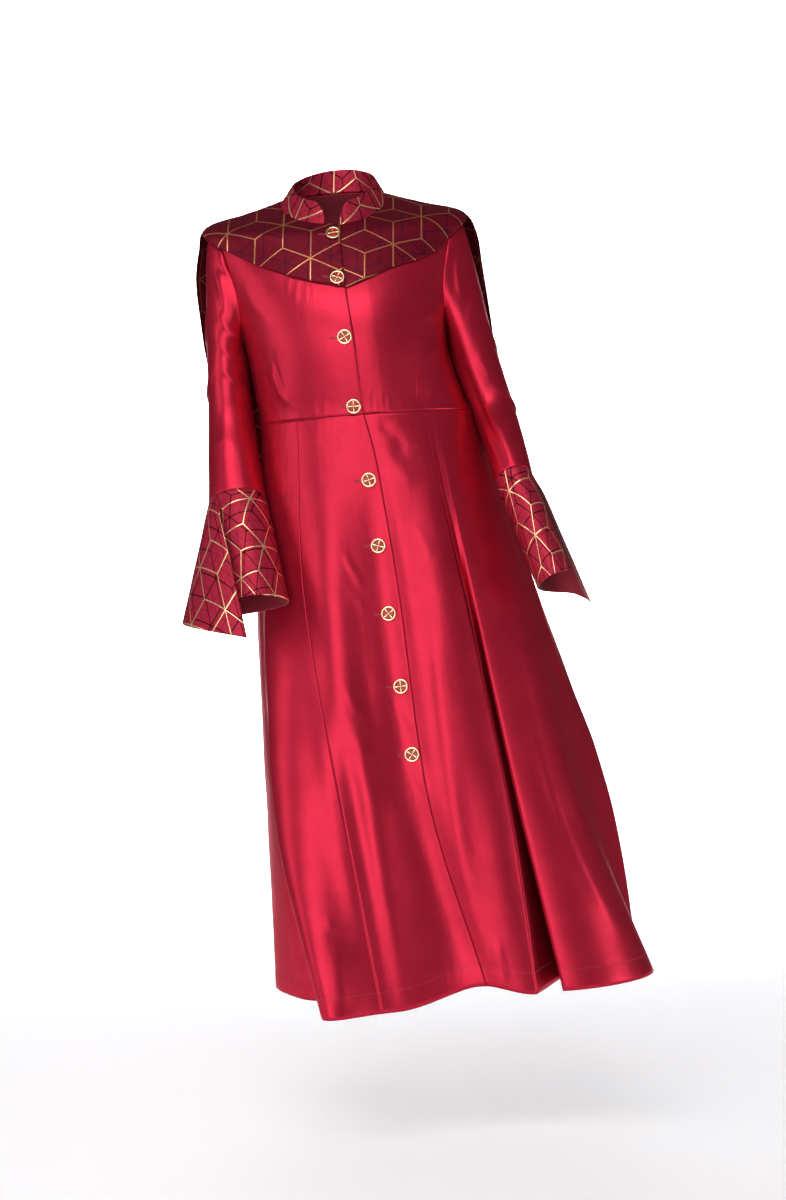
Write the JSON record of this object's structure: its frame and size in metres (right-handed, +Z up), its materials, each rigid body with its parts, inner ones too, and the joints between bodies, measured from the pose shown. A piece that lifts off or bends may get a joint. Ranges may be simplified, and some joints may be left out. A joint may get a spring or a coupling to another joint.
{
  "type": "clergy robe",
  "caption": "Long satin clergy robe in its worn shape, empty: fitted bodice, flared skirt, brocade stand collar, short pointed yoke with a cape back, and flared split cuffs.",
  "frame": {"origin": "middle of the neck opening at the collar's foot, between the shoulder seams, where the wearer's shoulders hold the robe", "axes": "+Z up the robe, -Y out of the buttoned front, +X towards the wearer's left arm"},
  "size_m": [0.7957, 0.6158, 1.4009],
  "materials": {
    "satin": "crimson heavy satin",
    "brocade": "dark crimson brocade with gold lines",
    "button_gold": "gold-coloured metal with red enamel"
  },
  "bodies": {
    "root": {"bodice_front_right": "satin", "bodice_front_left": "satin", "bodice_back": "satin", "skirt_front_left": "satin", "skirt_side_left": "satin", "skirt_back_left": "satin", "skirt_back_right": "satin", "skirt_side_right": "satin", "skirt_front_right": "satin", "sleeve_right": "satin", "sleeve_left": "satin", "cuff_right": "brocade", "cuff_left": "brocade", "cape_front_right": "brocade", "cape_front_left": "brocade", "cape_back": "brocade", "collar": "brocade", "button_1": "button_gold", "button_2": "button_gold", "button_3": "button_gold", "button_4": "button_gold", "button_5": "button_gold", "button_6": "button_gold", "button_7": "button_gold", "button_8": "button_gold", "button_9": "button_gold"}
  },
  "joints": []
}
